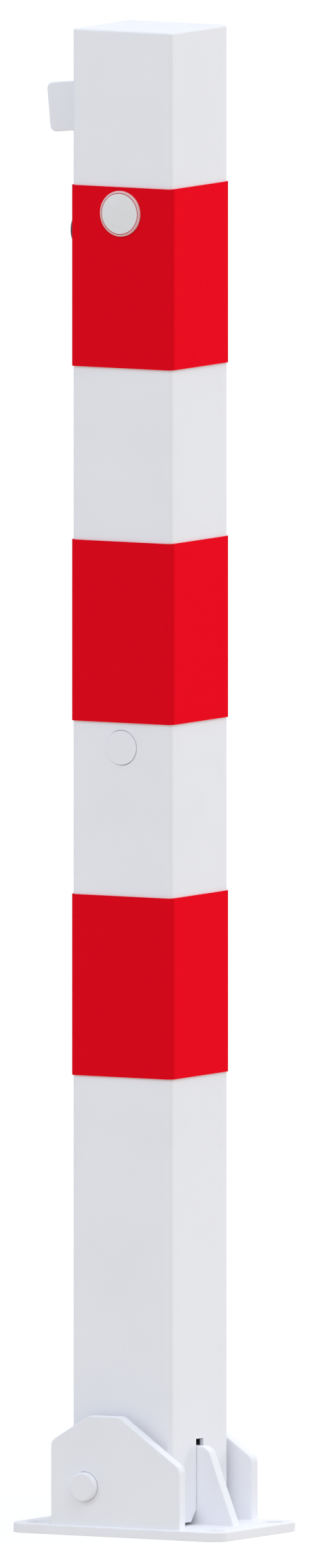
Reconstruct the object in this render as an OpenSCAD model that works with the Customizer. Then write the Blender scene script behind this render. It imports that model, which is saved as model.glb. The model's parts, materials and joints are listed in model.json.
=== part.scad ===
// Fold-down parking bollard: a square post on a hinge between two cheek plates,
// held upright by a lock rod that drops into a notched blade on the base.
// Millimetres, +Z up. The origin is the centre of the anchor hole pattern on the
// underside of the base plate. The post folds down towards -X.
// The rest position is upright and unlocked, with the lock rod lifted.

/* [Base plate] */
// Length of the base plate, along X
plate_l = 150; // [146:1:180]
// Width of the base plate, along Y
plate_w = 100; // [96:1:130]
// Thickness of the base plate
plate_t = 6; // [5:0.5:8]
// Corner radius of the base plate
plate_corner = 11; // [4:0.5:14]
// Diameter of each anchor hole
anchor_d = 13; // [9:0.5:14]
// Distance from an anchor hole's centre to the end of the plate
anchor_inset_x = 12.5; // [11:0.5:14]
// Distance from an anchor hole's centre to the side of the plate
anchor_inset_y = 15; // [11:0.5:16]

/* [Post] */
// Width of the square post over its flat faces
post_w = 70; // [68:1:72]
// Wall thickness of the post
post_wall = 2.5; // [2:0.1:3]
// Outer corner radius of the post
post_corner = 3.2; // [3.1:0.1:5]
// Height of the closed post above the ground
post_top = 922.5; // [900:0.5:1000]
// Gap between the base plate and the lower end of the post
post_gap = 2; // [1.5:0.1:3]
// How far the post's centre stands from the plate's centre, towards the hinge
post_shift = 3; // [2:0.5:4]
// Thickness of the cap plate that closes the post
cap_t = 3; // [2.5:0.1:5]
// Rounding of the upper edge of the cap plate
cap_round = 1.3; // [0.8:0.1:2]

/* [Red bands] */
// Height of each red band
band_h = 111; // [90:1:115]
// Distance from one band to the next, lower edge to lower edge
band_pitch = 217.4; // [200:0.2:220]
// Height of the lowest band's lower edge above the ground
band_z = 280.9; // [260:0.1:300]
// How far a band stands proud of the post
band_t = 1; // [0.5:0.1:1.5]

/* [Hinge] */
// Thickness of each cheek plate
cheek_t = 8; // [6:0.5:10]
// Gap between a cheek plate and the post
cheek_gap = 5.2; // [4:0.1:6]
// Length of a cheek plate along the base
cheek_l = 90.5; // [86:0.5:94]
// Height of a cheek plate above the base plate
cheek_h = 67.6; // [62:0.1:72]
// How far the level top edge of a cheek plate starts inwards of the hinge pin
cheek_top_in = 2.6; // [1:0.1:4]
// Length of the level top edge of a cheek plate
cheek_top_l = 22; // [20:0.1:26]
// Height of a cheek plate's upright edge on the folding side
cheek_fold_h = 51.3; // [44:0.1:54]
// Height of a cheek plate's upright edge on the blade side
cheek_blade_h = 38; // [34:0.5:42]
// Corner radius of the cheek plates
cheek_corner = 6; // [4:0.5:7]
// Diameter of the hinge pin
pin_d = 18; // [16:0.5:18]
// Height of the hinge pin above the base plate
pin_h = 24; // [23:0.5:26]
// Distance of the hinge pin from the post's face on the folding side
pin_inset = 16.5; // [16:0.1:17.5]
// How far each end of the hinge pin stands out of its cheek
pin_out = 3.5; // [2:0.5:5]
// Chamfer on both ends of the hinge pin
pin_chamfer = 1.3; // [0.5:0.1:1.8]

/* [Locking blade] */
// Thickness of the locking blade
blade_t = 8; // [6:0.5:8]
// Height of the locking blade above the base plate
blade_h = 48; // [46:0.5:50]
// Reach of the blade's foot from the post's face on the blade side
blade_foot = 26; // [20:0.5:27]
// Slope of the blade's outer edge from the upright, in degrees
blade_slope = 21.1; // [15:0.1:24]
// Radius of the blade's upper outer corner
blade_corner = 7.5; // [4:0.5:9]
// Depth of the notch that takes the lock rod
notch_depth = 12; // [11:0.5:12.5]

/* [Lock] */
// Height of the lock's axis above the ground
lock_z = 796.5; // [780:0.5:805]
// Diameter of the lock rod
rod_d = 12; // [10:0.5:12]
// Radius on which the crank pin turns
crank_r = 10; // [9:0.1:10]
// Diameter of the crank pin
crank_pin_d = 6; // [5:0.5:6]
// Outer diameter of the dust cap over the lock
dust_cap_d = 22.3; // [21.5:0.1:24]
// How far the dust cap stands out from the post
dust_cap_out = 15.3; // [14.5:0.1:18]

/* [Cross bar] */
// Height of the cross bar that guides the lock rod
cross_bar_z = 483; // [440:1:488]
// Diameter of the bar ends that show in the post's faces
cross_bar_d = 21; // [18:0.5:22]
// How far each bar end stands out of the post
cross_bar_out = 0.6; // [0.3:0.1:2]

/* [Rest foot] */
// Thickness of the rest foot
foot_t = 5; // [4:0.5:6]
// Width of the rest foot along the post
foot_w = 30; // [24:1:36]
// Reach of the rest foot from the post
foot_reach = 35.2; // [30:0.1:38]
// Height of the rest foot's root above the ground
foot_z = 873.6; // [860:0.1:876]
// Tilt of the rest foot in its own plane, in degrees
foot_tilt = 5.5; // [0:0.5:6]

/* [Badge plate] */
// Diameter of the bare round badge plate
badge_d = 28; // [20:1:30]
// Thickness of the badge plate at its centre
badge_t = 1.9; // [1.2:0.1:2.5]
// Height of the badge plate's centre above the ground
badge_z = 810.5; // [800:0.5:811]

/* [Hidden] */

// Paint and metal colours
paint_white = "#e6e9ed";
band_red = "#dc0b22";
steel_grey = "#9ea3a8";
zinc_grey = "#b9bcbb";
cap_black = "#1e1f21";

// Small allowances
cut = 1;
run_gap = 0.08;
seat_gap = 0.05;
side_gap = 0.2;
free_gap = 0.35;
round_fn = 64;

// Places along the post
post_x = -post_shift;
post_x0 = post_x - post_w / 2;
post_x1 = post_x + post_w / 2;
post_bottom = plate_t + post_gap;
tube_top = post_top - cap_t;
bore_w = post_w - 2 * post_wall;

// Hinge axis and the fold clearance round it
pin_x = post_x0 + pin_inset;
pin_z = plate_t + pin_h;
fold_clear = 1;
fold_r = pin_h - fold_clear;
pivot_tube_wall = 2.5;
pivot_tube_d = pin_d + 2 * pivot_tube_wall;
pivot_tube_l = post_w + 2 * (cheek_gap - side_gap);
pivot_clear = 1.2;
cheek_y = post_w / 2 + cheek_gap;
cheek_top_x = pin_x + cheek_top_in;
pin_l = 2 * (cheek_y + cheek_t + pin_out);
pivot_roll_d = 5;
pivot_roll_y = 18;

// Locking blade, its slot in the post and the rod's travel
blade_top = plate_t + blade_h;
slot_w = blade_t + 1;
slot_top = blade_top + 4.4;
slot_mouth_h = 7;
slot_mouth_w = slot_w + 11.6;
rod_x = post_x;
rod_r = rod_d / 2;
notch_w = rod_d + 0.6;
notch_floor = blade_top - notch_depth;
horn_w = 8;
horn_neck = 9;
crank_swing = 45;
rod_lift = 2 * crank_r * sin(crank_swing);
rod_end = notch_floor + 0.6 + rod_lift;

// Lock, measured outwards from the post's face on the folding side
flange_d = 27;
flange_t = 2.2;
flange_out = band_t + flange_t;
thread_d = 22;
housing_in = -13;
stub_d = dust_cap_d - 2 * 1.3 - 2 * free_gap;
stub_out = dust_cap_out - 1.8;
recess_d = stub_d - 3.4;
recess_out = 2;
journal_d = 12;
head_t = 2.5;
stud_r = 6.2;
drive_w = 8;
crank_t = 4;
crank_disc_d = 28;
crank_out = housing_in - 0.15;
screw_d = 5;
screw_head_d = 9.5;
screw_head_t = 2.6;
nut_flats = 30;
nut_t = 6;
crank_pin_in = -25.5;

// Yoke on the lock rod
yoke_out = -21;
yoke_in = -post_w / 2 - 8.5;
yoke_slot_in = -26.3;
yoke_slot_w = crank_pin_d + 0.8;
yoke_h = 20;
yoke_z = lock_z + rod_lift / 2;
yoke_pin_d = 4;
rod_top = yoke_z + 12;

// Cross bar and lower guide
cross_bar_body_d = cross_bar_d + 6;
cross_bar_hole_d = cross_bar_d + 2 * free_gap;
guide_l = 25;
guide_t = 8;
guide_z = blade_top + 0.1;

// An outline of corners [x, y, radius], with each corner rounded by an arc
function unit(v) = v / norm(v);
function arc_steps(r, turn) = max(2, ceil(turn / 90 * (4 + r * 0.8)));
function corner_arc(a, b, c) =
    let (
        u = unit([a.x - b.x, a.y - b.y]),
        w = unit([c.x - b.x, c.y - b.y]),
        half = acos(max(-1, min(1, u * w))) / 2,
        centre = [b.x, b.y] + unit(u + w) * b.z / sin(half),
        start = [b.x, b.y] + u * b.z / tan(half) - centre,
        side = sign(u.x * w.y - u.y * w.x),
        turn = 180 - 2 * half,
        steps = arc_steps(b.z, turn)
    )
    [for (i = [0:steps])
        let (t = -side * turn * i / steps)
        centre + [start.x * cos(t) - start.y * sin(t), start.x * sin(t) + start.y * cos(t)]];
function rounded(pts) =
    let (n = len(pts))
    [for (i = [0:n - 1])
        each pts[i].z > 0
            ? corner_arc(pts[(i + n - 1) % n], pts[i], pts[(i + 1) % n])
            : [[pts[i].x, pts[i].y]]];

// A rectangle with rounded corners, centred on the origin
module rounded_rect(l, w, r) {
    polygon(rounded([
        [-l / 2, -w / 2, r],
        [l / 2, -w / 2, r],
        [l / 2, w / 2, r],
        [-l / 2, w / 2, r]]));
}

// A plate that stands upright along X, drawn as an outline of X and Z
module upright_plate(y, t) {
    translate([0, y + t / 2, 0])
        rotate([90, 0, 0])
            linear_extrude(t)
                children();
}

// A round bar along Y, centred on y = 0
module bar_y(x, z, l, d) {
    translate([x, 0, z])
        rotate([90, 0, 0])
            cylinder(h = l, d = d, center = true, $fn = round_fn);
}

// A turned bar with a small chamfer on both ends, standing on its lower end
module chamfered_bar(d, l, c) {
    rotate_extrude($fn = round_fn)
        polygon([
            [0, 0],
            [d / 2 - c, 0],
            [d / 2, c],
            [d / 2, l - c],
            [d / 2 - c, l],
            [0, l]]);
}

// Moves a child to the lock: its +Z points out of the post, its +X points up
module at_lock() {
    translate([post_x0, 0, lock_z])
        rotate([0, -90, 0])
            children();
}

// A disc or round bar on the lock's axis, from one depth to another
module lock_round(d, from, to) {
    translate([0, 0, from])
        cylinder(h = to - from, d = d, $fn = round_fn);
}

// Flat steel plate with four anchor holes
module base_plate() {
    hole_x = plate_l / 2 - anchor_inset_x;
    hole_y = plate_w / 2 - anchor_inset_y;
    color(paint_white)
        difference() {
            linear_extrude(plate_t)
                rounded_rect(plate_l, plate_w, plate_corner);
            for (x = [-hole_x, hole_x], y = [-hole_y, hole_y])
                translate([x, y, -cut])
                    cylinder(h = plate_t + 2 * cut, d = anchor_d, $fn = round_fn);
        }
}

// Outline shared by both cheek plates, level over the hinge pin and sloped on both sides
module cheek_outline() {
    x0 = -cheek_l / 2;
    x1 = cheek_l / 2;
    polygon(rounded([
        [x0, plate_t, 0],
        [x1, plate_t, 0],
        [x1, plate_t + cheek_blade_h, cheek_corner],
        [cheek_top_x + cheek_top_l, plate_t + cheek_h, cheek_corner],
        [cheek_top_x, plate_t + cheek_h, cheek_corner],
        [x0, plate_t + cheek_fold_h, cheek_corner]]));
}

// Cheek plate with the running hole of the hinge pin
module cheek(y) {
    color(paint_white)
        difference() {
            upright_plate(y, cheek_t)
                cheek_outline();
            bar_y(pin_x, pin_z, 2 * plate_w, pin_d + 2 * run_gap);
        }
}

module cheek_front() {
    cheek(-cheek_y - cheek_t / 2);
}

module cheek_rear() {
    cheek(cheek_y + cheek_t / 2);
}

// Outline of the blade: a sloped outer edge, and a horn that reaches over the hinge
// so that the rod's notch has a wall on the side that the post would fold to
module blade_outline() {
    foot_x = post_x1 + blade_foot;
    top_x = foot_x - blade_h * tan(blade_slope);
    notch_x0 = rod_x - notch_w / 2;
    notch_x1 = rod_x + notch_w / 2;
    horn_x = notch_x0 - horn_w;
    clear_r = pivot_tube_d / 2 + pivot_clear;
    heel_x = pin_x + fold_r + 1.5 * fold_clear;
    polygon(rounded([
        [heel_x, plate_t, 0],
        [foot_x, plate_t, 0],
        [top_x, blade_top, blade_corner],
        [notch_x1, blade_top, 1],
        [notch_x1, notch_floor, 2],
        [notch_x0, notch_floor, 2],
        [notch_x0, blade_top, 1],
        [horn_x, blade_top, 3],
        [horn_x, pin_z + clear_r, 1.5],
        [pin_x + clear_r, pin_z + clear_r * tan(22.5), 5],
        [pin_x + clear_r, pin_z, 4],
        [heel_x, pin_z - horn_neck, 5]]));
}

module locking_blade() {
    color(paint_white)
        upright_plate(0, blade_t)
            blade_outline();
}

// Square tube, open below, with its lower edge cut back where it swings past the base
module post_tube() {
    color(paint_white)
        difference() {
            translate([post_x, 0, post_bottom])
                linear_extrude(tube_top - post_bottom)
                    difference() {
                        rounded_rect(post_w, post_w, post_corner);
                        rounded_rect(bore_w, bore_w, max(post_corner - post_wall, 0.6));
                    }
            fold_relief();
            blade_slot();
            bar_y(pin_x, pin_z, post_w + 2 * cut, pivot_tube_d + 2 * seat_gap);
            bar_y(post_x, cross_bar_z, post_w + 2 * cut, cross_bar_hole_d);
            at_lock()
                lock_round(thread_d + 0.6, -post_wall - cut, cut);
        }
}

// What the post's lower corner loses so that it clears the base plate in the fold
module fold_relief() {
    x0 = post_x0 - cut;
    z0 = post_bottom - cut;
    difference() {
        translate([x0, -post_w / 2 - cut, z0])
            cube([pin_x - x0, post_w + 2 * cut, pin_z - z0]);
        bar_y(pin_x, pin_z, post_w + 4 * cut, 2 * fold_r);
    }
}

// Slot for the blade in one wall of the post, flared at its mouth
module blade_slot() {
    z0 = post_bottom - cut;
    z1 = post_bottom + slot_mouth_h;
    translate([post_x1 - post_wall - cut, 0, 0])
        rotate([90, 0, 90])
            linear_extrude(post_wall + 2 * cut)
                polygon([
                    [-slot_mouth_w / 2, z0],
                    [slot_mouth_w / 2, z0],
                    [slot_mouth_w / 2, post_bottom + 0.4],
                    [slot_w / 2, z1],
                    [slot_w / 2, slot_top],
                    [-slot_w / 2, slot_top],
                    [-slot_w / 2, z1],
                    [-slot_mouth_w / 2, post_bottom + 0.4]]);
}

// Cap plate welded on the tube, with a softly rounded upper edge
module top_cap() {
    corner = post_w / 2 - post_corner;
    color(paint_white)
        translate([post_x, 0, tube_top])
            hull()
                for (x = [-corner, corner], y = [-corner, corner])
                    translate([x, y, 0])
                        cap_corner();
}

module cap_corner() {
    rotate_extrude($fn = 32)
        polygon(rounded([
            [0, 0, 0],
            [post_corner, 0, 0],
            [post_corner, cap_t, cap_round],
            [0, cap_t, 0]]));
}

// Red reflective band wrapped round the post
module red_band(z) {
    color(band_red)
        difference() {
            translate([post_x, 0, z])
                linear_extrude(band_h)
                    difference() {
                        rounded_rect(post_w + 2 * band_t, post_w + 2 * band_t, post_corner + band_t);
                        rounded_rect(post_w, post_w, post_corner);
                    }
            at_lock()
                lock_round(thread_d + 0.6, -cut, band_t + cut);
        }
}

module red_band_top() {
    red_band(band_z + 2 * band_pitch);
}

module red_band_middle() {
    red_band(band_z + band_pitch);
}

module red_band_bottom() {
    red_band(band_z);
}

// Bare round badge plate with a low dome, stuck on the top band
module badge_plate() {
    rim = 0.9;
    dome = badge_t - rim;
    dome_r = (badge_d * badge_d / 4 + dome * dome) / (2 * dome);
    sweep = asin(badge_d / 2 / dome_r);
    color(paint_white)
        translate([post_x, -post_w / 2 - band_t, badge_z])
            rotate([90, 0, 0])
                rotate_extrude($fn = round_fn)
                    polygon(concat(
                        [[0, 0], [badge_d / 2, 0]],
                        [for (i = [0:8])
                            let (t = sweep * (1 - i / 8))
                            [dome_r * sin(t), badge_t - dome_r + dome_r * cos(t)]]));
}

// Flat foot that props the folded post on the ground, welded on edge
module rest_foot() {
    rise = foot_reach * tan(foot_tilt);
    half = foot_w / 2 / cos(foot_tilt);
    lean = foot_w / 2 * sin(foot_tilt);
    tip = post_x0 - foot_reach;
    color(paint_white)
        upright_plate(0, foot_t)
            polygon(rounded([
                [post_x0, foot_z - half, 0],
                [post_x0, foot_z + half, 0],
                [tip - lean, foot_z - rise + half, 4],
                [tip + lean, foot_z - rise - half, 4]]));
}

// Tube welded through the post, in which the hinge pin is pinned. Its ends reach
// nearly to the cheeks and keep the post centred between them.
module pivot_tube() {
    color(paint_white)
        difference() {
            bar_y(pin_x, pin_z, pivot_tube_l, pivot_tube_d);
            bar_y(pin_x, pin_z, pivot_tube_l + 2 * cut, pin_d + 2 * seat_gap);
            translate([pin_x, pivot_roll_y, pin_z - pivot_tube_d])
                cylinder(h = 2 * pivot_tube_d, d = pivot_roll_d, $fn = round_fn);
        }
}

// Hinge pin with chamfered ends, drilled across for its roll pin
module hinge_pin() {
    color(paint_white)
        difference() {
            translate([pin_x, pin_l / 2, pin_z])
                rotate([90, 0, 0])
                    chamfered_bar(pin_d, pin_l, pin_chamfer);
            translate([pin_x, pivot_roll_y, pin_z - pin_d])
                cylinder(h = 2 * pin_d, d = pivot_roll_d, $fn = round_fn);
        }
}

// Slotted spring pin that holds the hinge pin in its tube
module pivot_roll_pin() {
    color(zinc_grey)
        translate([pin_x, pivot_roll_y, pin_z - pivot_tube_d / 2 + side_gap])
            roll_pin(pivot_roll_d, pivot_tube_d - 2 * side_gap);
}

// A rolled spring pin with its open seam, standing on its lower end
module roll_pin(d, l) {
    difference() {
        cylinder(h = l, d = d - 2 * seat_gap, $fn = 32);
        translate([0, 0, -cut])
            cylinder(h = l + 2 * cut, d = d * 0.6, $fn = 32);
        translate([0, -0.3, -cut])
            cube([d, 0.6, l + 2 * cut]);
    }
}

// Turned bar between the post's walls that guides the lock rod halfway up
module cross_bar() {
    color(paint_white)
        difference() {
            union() {
                bar_y(post_x, cross_bar_z, bore_w, cross_bar_body_d);
                bar_y(post_x, cross_bar_z, post_w + 2 * cross_bar_out, cross_bar_d);
            }
            translate([rod_x, 0, cross_bar_z - cross_bar_body_d])
                cylinder(h = 2 * cross_bar_body_d, d = rod_d + 2 * run_gap, $fn = round_fn);
        }
}

// Block welded across the post that guides the rod's end and rests on the blade
module lower_guide() {
    color(steel_grey)
        difference() {
            translate([rod_x - guide_l / 2, -bore_w / 2, guide_z])
                cube([guide_l, bore_w, guide_t]);
            translate([rod_x, 0, guide_z - cut])
                cylinder(h = guide_t + 2 * cut, d = rod_d + 2 * run_gap, $fn = round_fn);
        }
}

// Turned housing of the lock: a flange on the post, a stub with a key recess
// outside, and a long thread inside
module lock_housing() {
    color(zinc_grey)
        at_lock()
            difference() {
                union() {
                    lock_round(thread_d, housing_in, band_t);
                    lock_round(flange_d, band_t, flange_out);
                    lock_round(stub_d, flange_out, stub_out);
                }
                lock_round(recess_d, recess_out, stub_out + cut);
                lock_round(journal_d + 2 * run_gap, housing_in - cut, recess_out + cut);
            }
}

// Flat hexagon nut that clamps the housing from inside the post
module lock_nut() {
    color(zinc_grey)
        at_lock()
            translate([0, 0, -post_wall - nut_t])
                difference() {
                    cylinder(h = nut_t, d = nut_flats / cos(30), $fn = 6);
                    translate([0, 0, -cut])
                        cylinder(h = nut_t + 2 * cut, d = thread_d + 2 * seat_gap, $fn = round_fn);
                }
}

// Lock barrel: a triangular key stud outside, a journal, and a square for the crank
module lock_barrel() {
    color(zinc_grey)
        at_lock()
            difference() {
                union() {
                    lock_round(recess_d - 0.7, recess_out + seat_gap, recess_out + head_t);
                    lock_round(journal_d, crank_out, recess_out + head_t);
                    translate([0, 0, recess_out])
                        cylinder(h = stub_out - recess_out - 1.5, r = stud_r, $fn = 3);
                    translate([-drive_w / 2, -drive_w / 2, crank_out - crank_t + 0.1])
                        cube([drive_w, drive_w, crank_t + cut]);
                }
                lock_round(screw_d, crank_out - crank_t - cut, crank_out + 7);
            }
}

// Crank disc on the barrel's square, with the pin that lifts the rod.
// The pin stands up and to the front, and turns down to lock.
module lock_crank() {
    color(zinc_grey)
        at_lock()
            difference() {
                union() {
                    lock_round(crank_disc_d, crank_out - crank_t, crank_out);
                    translate([crank_r * sin(crank_swing), -crank_r * cos(crank_swing), 0])
                        lock_round(crank_pin_d, crank_pin_in, crank_out - crank_t / 2);
                }
                translate([-drive_w / 2 - seat_gap, -drive_w / 2 - seat_gap, crank_out - crank_t - cut])
                    cube([drive_w + 2 * seat_gap, drive_w + 2 * seat_gap, crank_t + 2 * cut]);
            }
}

// Low-head screw that holds the crank on the barrel
module crank_screw() {
    head_in = crank_out - crank_t - screw_head_t;
    color(steel_grey)
        at_lock()
            difference() {
                union() {
                    lock_round(screw_head_d, head_in, crank_out - crank_t);
                    lock_round(screw_d - 2 * seat_gap, crank_out - crank_t - seat_gap, crank_out + 6.5);
                }
                translate([0, 0, head_in - cut])
                    cylinder(h = 1.6 + cut, r = 1.75, $fn = 6);
            }
}

// Black dust cap pushed over the stub of the lock
module dust_cap() {
    color(cap_black)
        at_lock()
            difference() {
                translate([0, 0, flange_out + 0.1])
                    rotate_extrude($fn = round_fn)
                        polygon(rounded([
                            [0, 0, 0],
                            [dust_cap_d / 2, 0, 0],
                            [dust_cap_d / 2, dust_cap_out - flange_out - 0.1, 1],
                            [0, dust_cap_out - flange_out - 0.1, 0]]));
                lock_round(stub_d + 2 * free_gap, flange_out - cut, stub_out + 0.3);
            }
}

// Long round rod from the lock to the blade, with a chamfered lower end
module lock_rod() {
    color(zinc_grey)
        difference() {
            translate([rod_x, 0, rod_end])
                chamfered_bar(rod_d, rod_top - rod_end, 1.5);
            bar_y(rod_x, yoke_z, 2 * rod_d, yoke_pin_d);
        }
}

// Block on the rod's upper end, with the level slot that the crank pin runs in
module rod_yoke() {
    x0 = post_x0 - yoke_out;
    x1 = post_x0 - yoke_in;
    slot_x1 = post_x0 - yoke_slot_in;
    y0 = -15;
    y1 = 9;
    slot_y1 = 4.2 - crank_r * cos(crank_swing);
    color(steel_grey)
        difference() {
            translate([x0, y0, yoke_z - yoke_h / 2])
                cube([x1 - x0, y1 - y0, yoke_h]);
            translate([x0 - cut, y0 - cut, yoke_z - yoke_slot_w / 2])
                cube([slot_x1 - x0 + cut, slot_y1 - y0 + cut, yoke_slot_w]);
            translate([rod_x, 0, yoke_z - yoke_h])
                cylinder(h = 2 * yoke_h, d = rod_d + 2 * seat_gap, $fn = round_fn);
            translate([rod_x, -y1, yoke_z])
                rotate([-90, 0, 0])
                    cylinder(h = 2 * y1 + cut, d = yoke_pin_d, $fn = round_fn);
        }
}

// Spring pin that holds the yoke on the rod
module yoke_pin() {
    l = 17;
    color(zinc_grey)
        translate([rod_x, l / 2, yoke_z])
            rotate([90, 0, 0])
                roll_pin(yoke_pin_d, l);
}

base_plate();
cheek_front();
cheek_rear();
locking_blade();
post_tube();
top_cap();
red_band_top();
red_band_middle();
red_band_bottom();
badge_plate();
rest_foot();
pivot_tube();
hinge_pin();
pivot_roll_pin();
cross_bar();
lower_guide();
lock_housing();
lock_nut();
lock_barrel();
lock_crank();
crank_screw();
dust_cap();
lock_rod();
rod_yoke();
yoke_pin();
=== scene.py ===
"""A fold-down parking bollard in white powder coat with red reflective bands, for Blender 4.5."""
import json
import math

import bpy
from mathutils import Matrix, Vector
from mathutils.geometry import tessellate_polygon


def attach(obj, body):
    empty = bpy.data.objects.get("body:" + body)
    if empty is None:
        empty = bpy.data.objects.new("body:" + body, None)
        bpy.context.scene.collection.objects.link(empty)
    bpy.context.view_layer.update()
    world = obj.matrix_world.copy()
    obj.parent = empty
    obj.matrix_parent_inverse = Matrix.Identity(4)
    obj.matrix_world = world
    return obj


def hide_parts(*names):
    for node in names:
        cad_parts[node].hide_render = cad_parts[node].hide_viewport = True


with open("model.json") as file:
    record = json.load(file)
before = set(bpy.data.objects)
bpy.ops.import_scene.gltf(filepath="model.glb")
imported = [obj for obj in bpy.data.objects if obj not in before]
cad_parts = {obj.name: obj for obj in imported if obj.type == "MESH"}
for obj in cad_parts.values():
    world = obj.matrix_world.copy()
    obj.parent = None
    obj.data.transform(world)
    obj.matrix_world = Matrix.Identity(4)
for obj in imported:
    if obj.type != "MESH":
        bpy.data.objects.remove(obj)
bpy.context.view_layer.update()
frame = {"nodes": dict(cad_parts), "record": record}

MM = 0.001


# Colours and nodes


def linear(hex_colour):
    """A linear RGBA colour from an sRGB hex value."""
    channels = [int(hex_colour[i:i + 2], 16) / 255 for i in (1, 3, 5)]
    return tuple(c / 12.92 if c <= 0.04045 else ((c + 0.055) / 1.055) ** 2.4 for c in channels) + (1.0,)


def add(tree, kind, settings=None, tones=(), **links):
    """Adds a node. A setting is an attribute or an input, and a link is an input fed by
    another node's output. Tones are a colour ramp's (place, sRGB hex) pairs."""
    node = tree.nodes.new(kind)
    for key, value in (settings or {}).items():
        if key in node.inputs:
            node.inputs[key].default_value = value
        else:
            setattr(node, key, value)
    for step, (position, tone) in enumerate(tones):
        node.color_ramp.elements[step].position = position
        node.color_ramp.elements[step].color = linear(tone)
    for key, (source, output) in links.items():
        tree.links.new(source.outputs[output], node.inputs[key.replace("_", " ")])
    return node


def new_material(name):
    """An empty material with its node tree, and its place in millimetres."""
    material = bpy.data.materials.new(name)
    material.use_nodes = True
    tree = material.node_tree
    tree.nodes.clear()
    where = add(tree, "ShaderNodeTexCoord")
    place = add(tree, "ShaderNodeMapping", {"Scale": (1 / MM,) * 3}, Vector=(where, "Object"))
    return material, tree, place


def finish_material(tree, shader):
    """The material's output, fed by its shader."""
    add(tree, "ShaderNodeOutputMaterial", Surface=(shader, "BSDF"))


# Materials


def polyester_powder_coat():
    """White polyester powder coat, baked on steel: semi-gloss, with a faint orange peel and
    hardly any change of tone."""
    material, tree, place = new_material("white_polyester_powder_coat")
    # Film thickness drifts over about 60 mm and gives the eye a barely warmer or cooler white
    drift = add(tree, "ShaderNodeTexNoise", {"Scale": 1 / 60, "Detail": 2.0}, Vector=(place, "Vector"))
    tone = add(tree, "ShaderNodeValToRGB", tones=[(0.35, "#F5F6FB"), (0.65, "#F8F9FE")], Fac=(drift, "Fac"))
    # Orange peel has waves of 1.5 to 3 mm, only microns high
    peel = add(tree, "ShaderNodeTexNoise", {"Scale": 1 / 2.2, "Detail": 1.5}, Vector=(place, "Vector"))
    bump = add(tree, "ShaderNodeBump", {"Strength": 0.12, "Distance": 0.02 * MM}, Height=(peel, "Fac"))
    gloss = add(tree, "ShaderNodeMapRange", {"To Min": 0.5, "To Max": 0.58}, Value=(drift, "Fac"))
    shader = add(tree, "ShaderNodeBsdfPrincipled", {"IOR": 1.5, "Metallic": 0.0, "Specular IOR Level": 0.2},
                 Base_Color=(tone, "Color"), Roughness=(gloss, "Result"), Normal=(bump, "Normal"))
    finish_material(tree, shader)
    return material


def reflective_film():
    """Red retroreflective sheeting: a smooth face over metal-backed glass beads. The beads show
    as the finest grain, and throw light back tinted red, which a metallic share stands for."""
    material, tree, place = new_material("red_bead_reflective_film")
    # Real beads are 0.05 mm wide; they are drawn at 0.5 mm so that they show at all
    beads = add(tree, "ShaderNodeTexVoronoi", {"Scale": 1 / 0.5}, Vector=(place, "Vector"))
    tone = add(tree, "ShaderNodeValToRGB", tones=[(0.2, "#E20C1E"), (0.9, "#DE0B1D")],
               Fac=(beads, "Distance"))
    bump = add(tree, "ShaderNodeBump", {"Strength": 0.05, "Distance": 0.01 * MM}, Height=(beads, "Distance"))
    shader = add(tree, "ShaderNodeBsdfPrincipled",
                 {"IOR": 1.46, "Metallic": 0.3, "Roughness": 0.45, "Specular IOR Level": 0.0,
                  "Specular Tint": linear("#FFC0C8")},
                 Base_Color=(tone, "Color"), Normal=(bump, "Normal"))
    finish_material(tree, shader)
    return material


def domed_resin(name, light, dark):
    """Clear polyurethane resin cast over a printed disc: smooth and glossy, one even colour below."""
    material, tree, place = new_material(name)
    # The resin's thickness clouds the colour over about 8 mm, hardly enough to see
    cloud = add(tree, "ShaderNodeTexNoise", {"Scale": 1 / 8, "Detail": 1.0}, Vector=(place, "Vector"))
    tone = add(tree, "ShaderNodeValToRGB", tones=[(0.0, dark), (1.0, light)], Fac=(cloud, "Fac"))
    shader = add(tree, "ShaderNodeBsdfPrincipled",
                 {"IOR": 1.49, "Roughness": 0.3, "Coat Weight": 0.6, "Coat Roughness": 0.06},
                 Base_Color=(tone, "Color"))
    finish_material(tree, shader)
    return material


def turned_steel(name, light, dark, rough_low, rough_high, grain):
    """Bare or plated steel off the lathe or saw: fine tool marks in the gloss, a slight drift of
    tone. The grain is the width of the marks in millimetres."""
    material, tree, place = new_material(name)
    # Oil and plating stain the metal over about 9 mm
    stain = add(tree, "ShaderNodeTexNoise", {"Scale": 1 / 9, "Detail": 3.0}, Vector=(place, "Vector"))
    tone = add(tree, "ShaderNodeValToRGB", tones=[(0.3, dark), (0.7, light)], Fac=(stain, "Fac"))
    marks = add(tree, "ShaderNodeTexNoise", {"Scale": 1 / grain, "Detail": 2.0}, Vector=(place, "Vector"))
    gloss = add(tree, "ShaderNodeMapRange", {"To Min": rough_low, "To Max": rough_high}, Value=(marks, "Fac"))
    bump = add(tree, "ShaderNodeBump", {"Strength": 0.15, "Distance": 0.02 * MM}, Height=(marks, "Fac"))
    shader = add(tree, "ShaderNodeBsdfPrincipled", {"Metallic": 1.0},
                 Base_Color=(tone, "Color"), Roughness=(gloss, "Result"), Normal=(bump, "Normal"))
    finish_material(tree, shader)
    return material


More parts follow.
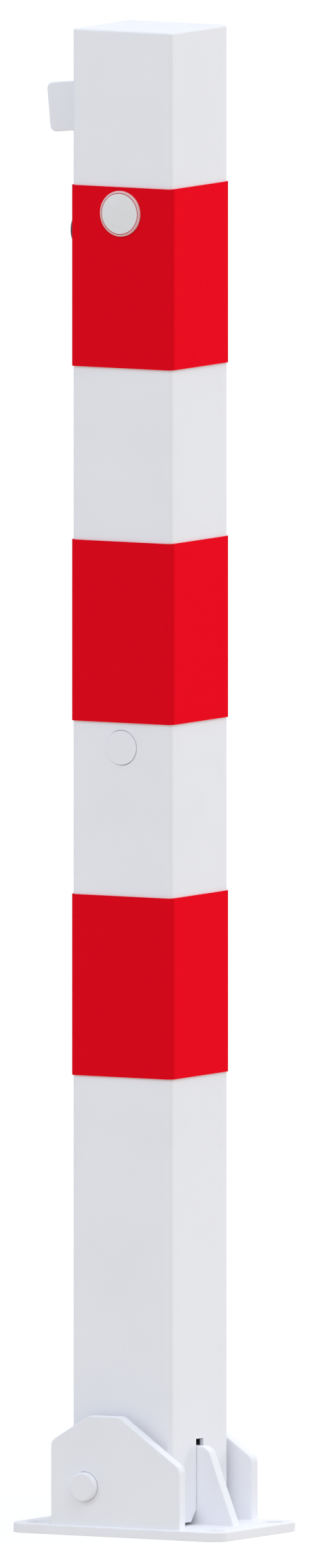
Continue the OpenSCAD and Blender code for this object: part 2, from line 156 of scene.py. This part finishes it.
def moulded_polyethylene():
    """Black moulded polyethylene: a dark, slightly greyed skin with a fine spark-eroded grain."""
    material, tree, place = new_material("black_moulded_polyethylene")
    # The grain of a spark-eroded mould is about 0.6 mm wide here, as coarse as it needs to show
    grain = add(tree, "ShaderNodeTexNoise", {"Scale": 1 / 0.6, "Detail": 2.0}, Vector=(place, "Vector"))
    tone = add(tree, "ShaderNodeValToRGB", tones=[(0.0, "#1C1D1F"), (1.0, "#26272A")], Fac=(grain, "Fac"))
    bump = add(tree, "ShaderNodeBump", {"Strength": 0.3, "Distance": 0.03 * MM}, Height=(grain, "Fac"))
    shader = add(tree, "ShaderNodeBsdfPrincipled", {"IOR": 1.5, "Roughness": 0.5},
                 Base_Color=(tone, "Color"), Normal=(bump, "Normal"))
    finish_material(tree, shader)
    return material


FINISHES = {
    "white_powder_coat": polyester_powder_coat(),
    "red_reflective_film": reflective_film(),
    "white_badge_plastic": domed_resin("white_domed_resin", "#EDEDEE", "#E9E9EA"),
    "plain_steel": turned_steel("turned_mild_steel", "#B4B3B0", "#9C9B98", 0.35, 0.5, 0.8),
    "zinc_plated_steel": turned_steel("bright_zinc_plating", "#D3D6D8", "#BFC3C6", 0.24, 0.36, 1.5),
    "black_steel": turned_steel("blackened_steel", "#3A3B3D", "#2C2D2F", 0.4, 0.5, 0.8),
    "black_plastic": moulded_polyethylene(),
}
RED_RIM = domed_resin("red_domed_resin_rim", "#C93A44", "#C4343F")
CLEAR_RIM = domed_resin("pale_domed_resin_rim", "#E3C6C8", "#DFC0C3")


# Mesh code


def filleted(corners, arc_step=9.0):
    """Points and outward normals round a counterclockwise outline of (x, y, fillet radius) corners.
    A corner without a fillet gives two points, one for each of its edges. Each point also gets the
    sum of its two edges' normals, for its mitre."""
    points = []
    count = len(corners)
    for i in range(count):
        before, here, after = (Vector(corners[(i + k) % count][:2]) for k in (-1, 0, 1))
        radius = corners[i][2]
        inward, outward = (here - before).normalized(), (after - here).normalized()
        normal_in = Vector((inward.y, -inward.x))
        normal_out = Vector((outward.y, -outward.x))
        if radius <= 0:
            points += [(here, normal_in, normal_in + normal_out), (here, normal_out, normal_in + normal_out)]
            continue
        turn = math.atan2(inward.x * outward.y - inward.y * outward.x, inward.dot(outward))
        side = 1.0 if turn > 0 else -1.0
        reach = radius * math.tan(abs(turn) / 2)
        centre = here - inward * reach - normal_in * radius * side
        steps = max(2, math.ceil(abs(math.degrees(turn)) / arc_step))
        for k in range(steps + 1):
            normal = Matrix.Rotation(turn * k / steps, 2) @ normal_in
            points.append((centre + normal * radius * side, normal, normal * 2))
    return points


def inset(ring, depth):
    """The ring's points moved inward by depth. Sharp corners keep their mitre."""
    moved = []
    for point, normal, both in ring:
        mitre = both / max(1e-9, both.dot(normal))
        moved.append(point - mitre * depth)
    return moved


def circle_ring(x, y, radius, steps=64):
    """A hole's points and normals, which point into the hole."""
    ring = []
    for k in range(steps):
        angle = -2 * math.pi * k / steps
        out = Vector((math.cos(angle), math.sin(angle)))
        ring.append((Vector((x, y)) + out * radius, -out, -out * 2))
    return ring


def edge_profile(thickness, low_edge, high_edge, steps=4):
    """(inset, height, outward share, upward share) up a plate's side, with both edges rounded."""
    profile = []
    for radius, upper in ((low_edge, False), (high_edge, True)):
        for k in range(steps + 1):
            angle = math.pi / 2 * (k / steps if upper else 1 - k / steps)
            out, up = math.cos(angle), math.sin(angle)
            if upper:
                profile.append((radius * (1 - out), thickness - radius * (1 - up), out, up))
            else:
                profile.append((radius * (1 - out), radius * (1 - up), out, -up))
    return profile


def make_object(name, verts, normals, faces, place, slot_name, material_of=None, materials=None):
    """An object from vertices with their own normals, moved by place."""
    mesh = bpy.data.meshes.new(name)
    turn = place.to_3x3().normalized()
    mesh.from_pydata([place @ Vector(v) for v in verts], [], faces)
    if place.determinant() < 0:
        mesh.flip_normals()
    mesh.update()
    mesh.polygons.foreach_set("use_smooth", [True] * len(mesh.polygons))
    mesh.normals_split_custom_set_from_vertices([(turn @ Vector(n)).normalized() for n in normals])
    for material in materials or [FINISHES[slot_name]]:
        mesh.materials.append(material)
    if material_of:
        for polygon in mesh.polygons:
            polygon.material_index = material_of(polygon)
    obj = bpy.data.objects.new(name, mesh)
    bpy.context.scene.collection.objects.link(obj)
    return obj


def rounded_plate(name, corners, thickness, place, slot_name, low_edge, high_edge, holes=()):
    """A plate of an outline with rounded edges, and round holes (x, y, radius) with the same edges."""
    rings = [filleted(corners)] + [circle_ring(*hole) for hole in holes]
    profile = edge_profile(thickness, low_edge, high_edge)
    verts, normals, faces = [], [], []
    ends = [[], []]
    for ring in rings:
        count = len(ring)
        start = len(verts)
        for depth, height, out, up in profile:
            for (_, normal, _), moved in zip(ring, inset(ring, depth)):
                verts.append((moved.x, moved.y, height))
                normals.append((normal.x * out, normal.y * out, up))
        for level in range(len(profile) - 1):
            for k in range(count):
                a, b = start + level * count + k, start + level * count + (k + 1) % count
                if (Vector(verts[a]) - Vector(verts[b])).length > 1e-9:
                    faces.append((a, b, b + count, a + count))
        ends[0].append([start + k for k in range(count)])
        ends[1].append([start + (len(profile) - 1) * count + k for k in range(count)])
    for upper, loops in enumerate(ends):
        flat = [i for loop in loops for i in loop]
        triangles = tessellate_polygon([[Vector(verts[i]) for i in loop] for loop in loops])
        for triangle in triangles:
            a, b, c = (flat[i] for i in triangle)
            ab, ac = Vector(verts[b]) - Vector(verts[a]), Vector(verts[c]) - Vector(verts[a])
            rise = ab.cross(ac).z
            if abs(rise) > 1e-16:
                faces.append((a, b, c) if (rise > 0) == bool(upper) else (a, c, b))
    return make_object(name, verts, normals, faces, place, slot_name)


def turned(name, corners, place, slot_name, steps=96, material_of=None, materials=None):
    """A turned piece about Z: an outline of (radius, height, fillet) corners, from the axis round
    to the axis."""
    section = filleted(corners)
    verts, normals, faces, rows = [], [], [], []
    for point, normal, _ in section:
        on_axis = abs(point.x) < 1e-9
        row = []
        for k in range(1 if on_axis else steps):
            angle = 2 * math.pi * k / steps
            row.append(len(verts))
            verts.append((point.x * math.cos(angle), point.x * math.sin(angle), point.y))
            out = 0.0 if on_axis else normal.x
            up = math.copysign(1.0, normal.y) if on_axis else normal.y
            normals.append((out * math.cos(angle), out * math.sin(angle), up))
        rows.append(row)
    for row, above in zip(rows, rows[1:]):
        if len(row) == len(above) == 1:
            continue
        if (Vector(verts[row[0]]) - Vector(verts[above[0]])).length < 1e-9:
            continue
        for k in range(steps):
            n = (k + 1) % steps
            if len(row) == 1:
                faces.append((row[0], above[n], above[k]))
            elif len(above) == 1:
                faces.append((row[k], row[n], above[0]))
            else:
                faces.append((row[k], row[n], above[n], above[k]))
    return make_object(name, verts, normals, faces, place, slot_name, material_of, materials)


def scaled(corners):
    """Corners in millimetres as metres."""
    return [tuple(v * MM for v in corner) for corner in corners]


def upright(y_low):
    """Places a plate drawn in X and Z with its thickness along +Y, from y_low millimetres."""
    return Matrix(((1, 0, 0, 0), (0, 0, 1, y_low * MM), (0, 1, 0, 0), (0, 0, 0, 1)))


def along_y(x, y, z, towards):
    """Places a turned piece with its axis along Y, its height towards +1 or -1."""
    turn = Matrix.Rotation(math.radians(-90 * towards), 4, "X")
    return Matrix.Translation(Vector((x, y, z)) * MM) @ turn


# Sizes, in millimetres

WELD = 1.2  # how far the lower edges of the welded plates run into the base plate

PLATE_L, PLATE_W, PLATE_T, PLATE_CORNER = 150, 100, 6, 11
ANCHOR_X, ANCHOR_Y, ANCHOR_R = 62.5, 35, 6.5

POST_W, POST_X, BAND_T = 70, -3, 1
POST_FOLD_FACE = POST_X - POST_W / 2
POST_FRONT_FACE = -POST_W / 2

PIN_X, PIN_Z, PIN_R = -21.5, 30, 9
PIN_HALF_L, PIN_EDGE, PIN_GAP = 51.7, 1.4, 0.08

CHEEK_IN, CHEEK_T, CHEEK_HALF_L, CHEEK_CORNER = 40.2, 8, 45.25, 6
CHEEK_TOP_Z, CHEEK_TOP_FOLD_X, CHEEK_TOP_BLADE_X = 73.6, -18.9, 3.1
CHEEK_FOLD_Z, CHEEK_BLADE_Z = 57.3, 44

BLADE_T, BLADE_H, BLADE_CORNER = 8, 48, 7.5
BLADE_SLOPE = math.radians(21.1)
BLADE_RUN = 0.39  # how far the sloped edge runs out for each millimetre below the base plate's top
BLADE_HEEL_X, BLADE_HEEL_Z, BLADE_FOOT_X = 3, 21, 58
BLADE_TOP_Z = PLATE_T + BLADE_H
NOTCH_X0, NOTCH_X1, NOTCH_Z = -9.3, 3.3, 42
HORN_X, HORN_Z = -17.3, 42.7
TUBE_CLEAR_X, TUBE_SHOULDER_Z = -8.8, 35.26

FOOT_Z, FOOT_REACH, FOOT_HALF_W, FOOT_T, FOOT_CORNER = 873.6, 35.2, 15, 5, 4
FOOT_TILT = math.radians(5.5)

BADGE_Z, BADGE_R, BADGE_RING_R, BADGE_FACE_R, BADGE_CROWN_R = 810.5, 14, 12.9, 12.3, 6
BADGE_RIM_H, BADGE_RING_H, BADGE_FACE_H, BADGE_CROWN_H, BADGE_H = 1.2, 1.45, 1.5, 1.85, 1.9

LOCK_Z = 796.5
CAP_R, CAP_BORE_R, CAP_ROOT, CAP_BORE_END, CAP_END = 11.15, 9.85, 3.3, 13.8, 15.3


# Pieces on the base

base_plate = rounded_plate(
    "base_plate_coated",
    scaled([(x * PLATE_L / 2, y * PLATE_W / 2, PLATE_CORNER) for x, y in ((-1, -1), (1, -1), (1, 1), (-1, 1))]),
    PLATE_T * MM, Matrix.Identity(4), "white_powder_coat", 0.4 * MM, 1.0 * MM,
    scaled([(x, y, ANCHOR_R) for x in (-ANCHOR_X, ANCHOR_X) for y in (-ANCHOR_Y, ANCHOR_Y)]))
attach(base_plate, "base")
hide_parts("base_plate")

CHEEK_OUTLINE = scaled([
    (-CHEEK_HALF_L, PLATE_T - WELD, 0),
    (CHEEK_HALF_L, PLATE_T - WELD, 0),
    (CHEEK_HALF_L, CHEEK_BLADE_Z, CHEEK_CORNER),
    (CHEEK_TOP_BLADE_X, CHEEK_TOP_Z, CHEEK_CORNER),
    (CHEEK_TOP_FOLD_X, CHEEK_TOP_Z, CHEEK_CORNER),
    (-CHEEK_HALF_L, CHEEK_FOLD_Z, CHEEK_CORNER)])
for side, y_low in (("front", -CHEEK_IN - CHEEK_T), ("rear", CHEEK_IN)):
    cheek = rounded_plate(
        f"cheek_{side}_coated", CHEEK_OUTLINE, CHEEK_T * MM, upright(y_low), "white_powder_coat",
        0.9 * MM, 0.9 * MM, scaled([(PIN_X, PIN_Z, PIN_R + PIN_GAP)]))
    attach(cheek, "base")
    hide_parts(f"cheek_{side}")

# The blade: a sloped outer edge, the rod's notch, a horn over the hinge and room for its tube
blade = rounded_plate(
    "locking_blade_coated",
    scaled([
        (BLADE_HEEL_X, PLATE_T - WELD, 0),
        (BLADE_FOOT_X + WELD * BLADE_RUN, PLATE_T - WELD, 0),
        (BLADE_FOOT_X - BLADE_H * math.tan(BLADE_SLOPE), BLADE_TOP_Z, BLADE_CORNER),
        (NOTCH_X1, BLADE_TOP_Z, 1),
        (NOTCH_X1, NOTCH_Z, 2),
        (NOTCH_X0, NOTCH_Z, 2),
        (NOTCH_X0, BLADE_TOP_Z, 1),
        (HORN_X, BLADE_TOP_Z, 3),
        (HORN_X, HORN_Z, 1.5),
        (TUBE_CLEAR_X, TUBE_SHOULDER_Z, 5),
        (TUBE_CLEAR_X, PIN_Z, 4),
        (BLADE_HEEL_X, BLADE_HEEL_Z, 5)]),
    BLADE_T * MM, upright(-BLADE_T / 2), "white_powder_coat", 0.7 * MM, 0.7 * MM)
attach(blade, "base")
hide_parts("locking_blade")


# Pieces on the post

pin = turned(
    "hinge_pin_coated",
    scaled([(0, -PIN_HALF_L, 0), (PIN_R, -PIN_HALF_L, PIN_EDGE), (PIN_R, PIN_HALF_L, PIN_EDGE),
            (0, PIN_HALF_L, 0)]),
    along_y(PIN_X, 0, PIN_Z, 1), "white_powder_coat")
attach(pin, "post")
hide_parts("hinge_pin")

foot_half = FOOT_HALF_W / math.cos(FOOT_TILT)
foot_lean = FOOT_HALF_W * math.sin(FOOT_TILT)
foot_tip_x = POST_FOLD_FACE - FOOT_REACH
foot_tip_z = FOOT_Z - FOOT_REACH * math.tan(FOOT_TILT)
foot = rounded_plate(
    "rest_foot_coated",
    scaled([
        (POST_FOLD_FACE, FOOT_Z - foot_half, 0),
        (POST_FOLD_FACE, FOOT_Z + foot_half, 0),
        (foot_tip_x - foot_lean, foot_tip_z + foot_half, FOOT_CORNER),
        (foot_tip_x + foot_lean, foot_tip_z - foot_half, FOOT_CORNER)]),
    FOOT_T * MM, upright(-FOOT_T / 2), "white_powder_coat", 0.8 * MM, 0.8 * MM)
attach(foot, "post")
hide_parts("rest_foot")


def badge_ring(polygon):
    """0 for the white face, 1 for the thin red ring, 2 for the pale clear rim."""
    centre = polygon.center
    reach = math.hypot(centre.x - POST_X * MM, centre.z - BADGE_Z * MM) / MM
    if reach > BADGE_RING_R:
        return 2
    return 1 if reach > BADGE_FACE_R else 0


badge = turned(
    "badge_plate_cast",
    scaled([(0, 0, 0), (BADGE_R, 0, 0), (BADGE_R, BADGE_RIM_H, 0.6), (BADGE_RING_R, BADGE_RING_H, 0.3),
            (BADGE_FACE_R, BADGE_FACE_H, 0.3), (BADGE_CROWN_R, BADGE_CROWN_H, 4), (0, BADGE_H, 0)]),
    along_y(POST_X, POST_FRONT_FACE - BAND_T, BADGE_Z, -1), "white_badge_plastic", 128, badge_ring,
    [FINISHES["white_badge_plastic"], RED_RIM, CLEAR_RIM])
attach(badge, "post")
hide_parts("badge_plate")

# The dust cap's axis points out of the post, towards -X
dust_cap = turned(
    "dust_cap_moulded",
    scaled([(0, CAP_BORE_END, 0), (CAP_BORE_R, CAP_BORE_END, 0.3), (CAP_BORE_R, CAP_ROOT, 0),
            (CAP_R, CAP_ROOT, 0.3), (CAP_R, CAP_END, 1.6), (0, CAP_END, 0)]),
    Matrix.Translation(Vector((POST_FOLD_FACE, 0, LOCK_Z)) * MM) @ Matrix.Rotation(math.radians(-90), 4, "Y"),
    "black_plastic")
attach(dust_cap, "cap")
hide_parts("dust_cap")


# Finishes of the CAD's own pieces

slot_of = {part["node"]: part["material_slot"] for part in frame["record"]["subparts"]}
for node_name, node in frame["nodes"].items():
    node.data.materials.clear()
    node.data.materials.append(FINISHES[slot_of[node_name]])


# Floor and surroundings


def seen_directly(tree):
    """1 for rays from the camera, a mirror or glass, 0 for the rays that light the object."""
    path = add(tree, "ShaderNodeLightPath")
    first = add(tree, "ShaderNodeMath", {"operation": "MAXIMUM"})
    tree.links.new(path.outputs["Is Camera Ray"], first.inputs[0])
    tree.links.new(path.outputs["Is Glossy Ray"], first.inputs[1])
    both = add(tree, "ShaderNodeMath", {"operation": "MAXIMUM"})
    tree.links.new(first.outputs[0], both.inputs[0])
    tree.links.new(path.outputs["Is Transmission Ray"], both.inputs[1])
    return both


def mixed(tree, factor, low, high):
    """The low shader where the factor is 0, the high one where it is 1."""
    mix = add(tree, "ShaderNodeMixShader")
    tree.links.new(factor.outputs[0], mix.inputs[0])
    tree.links.new(low.outputs[0], mix.inputs[1])
    tree.links.new(high.outputs[0], mix.inputs[2])
    return mix


def background_paper():
    """White paper: it lights the object from below, and looks white with a soft shadow."""
    material = bpy.data.materials.new("white_background_paper")
    material.use_nodes = True
    tree = material.node_tree
    tree.nodes.clear()
    paper = add(tree, "ShaderNodeEmission", {"Color": linear("#FFFBF0"), "Strength": 0.67})
    shade = add(tree, "ShaderNodeBsdfDiffuse", {"Color": linear("#898B8F")})
    glow = add(tree, "ShaderNodeEmission", {"Color": linear("#FFFFFF"), "Strength": 0.785})
    lit = add(tree, "ShaderNodeAddShader")
    tree.links.new(shade.outputs[0], lit.inputs[0])
    tree.links.new(glow.outputs[0], lit.inputs[1])
    add(tree, "ShaderNodeOutputMaterial", Surface=(mixed(tree, seen_directly(tree), paper, lit), "Shader"))
    return material


FLOOR_HALF = 30.0  # metres
floor_mesh = bpy.data.meshes.new("studio_floor")
floor_mesh.from_pydata(
    [(x * FLOOR_HALF, y * FLOOR_HALF, 0) for x, y in ((-1, -1), (1, -1), (1, 1), (-1, 1))], [], [(0, 1, 2, 3)])
floor_mesh.materials.append(background_paper())
floor = bpy.data.objects.new("studio_floor", floor_mesh)
bpy.context.scene.collection.objects.link(floor)

# A dim, even tent lights the object, and looks white to the camera
world = bpy.data.worlds.new("soft_tent")
bpy.context.scene.world = world
world.use_nodes = True
sky = world.node_tree
sky.nodes.clear()
sky_way = add(sky, "ShaderNodeTexCoord")
sky_axes = add(sky, "ShaderNodeSeparateXYZ", Vector=(sky_way, "Generated"))
sky_tone = add(sky, "ShaderNodeValToRGB", tones=[(0.0, "#FFFFFF"), (1.0, "#F4FAFF")], Fac=(sky_axes, "Z"))
sky_fall = add(sky, "ShaderNodeMapRange", {"To Min": 0.25, "To Max": 0.22}, Value=(sky_axes, "Z"))
tent = add(sky, "ShaderNodeBackground", Color=(sky_tone, "Color"), Strength=(sky_fall, "Result"))
white = add(sky, "ShaderNodeBackground", {"Color": linear("#FFFFFF"), "Strength": 1.0})
add(sky, "ShaderNodeOutputWorld", Surface=(mixed(sky, seen_directly(sky), tent, white), "Shader"))


# Lamps


def direction(azimuth, elevation):
    """The way to a place round the object, in degrees: azimuth 0 is the front, 90 the blade's side."""
    a, e = math.radians(azimuth), math.radians(elevation)
    return Vector((math.sin(a) * math.cos(e), -math.cos(a) * math.cos(e), math.sin(e)))


def soft_sun(name, towards, strength, spread, hex_colour):
    """A broad lamp far away. Towards points from the object to the lamp, and spread is how wide
    the lamp looks from the object, in degrees."""
    data = bpy.data.lights.new(name, "SUN")
    data.energy = strength
    data.angle = math.radians(spread)
    data.color = linear(hex_colour)[:3]
    lamp = bpy.data.objects.new(name, data)
    lamp.rotation_mode = "QUATERNION"
    lamp.rotation_quaternion = towards.to_track_quat("Z", "Y")
    bpy.context.scene.collection.objects.link(lamp)


soft_sun("key_lamp", direction(-35, 38), 0.35, 18, "#FFFFFF")
soft_sun("front_panel", direction(30, 40), 0.74, 60, "#F6F8FF")
soft_sun("blade_side_panel", direction(88, 57), 1.08, 60, "#F2F7FF")
soft_sun("blade_side_low_panel", direction(147, 5), 0.62, 20, "#FFFAFF")
soft_sun("fold_side_low_panel", direction(-60, 10), 0.75, 60, "#C6DBFF")
soft_sun("rear_panel", direction(180, 45), 0.75, 60, "#FFFFFF")


# Camera

VIEW_AZIMUTH, VIEW_ELEVATION = 30, 5
VIEW_CENTRE = Vector((0.35, 0.2, 458.2)) * MM
VIEW_HEIGHT = 0.9578  # metres of the object plane in the picture's height
VIEW_DISTANCE = 3.0

camera_data = bpy.data.cameras.new("photo_camera")
camera_data.type = "ORTHO"
camera_data.ortho_scale = VIEW_HEIGHT
camera_data.clip_end = 200.0
camera = bpy.data.objects.new("photo_camera", camera_data)
bpy.context.scene.collection.objects.link(camera)
view_back = direction(VIEW_AZIMUTH, VIEW_ELEVATION)
camera.rotation_mode = "QUATERNION"
camera.rotation_quaternion = view_back.to_track_quat("Z", "Y")
camera.location = VIEW_CENTRE + view_back * VIEW_DISTANCE
bpy.context.scene.camera = camera
bpy.context.scene.view_settings.view_transform = "Standard"
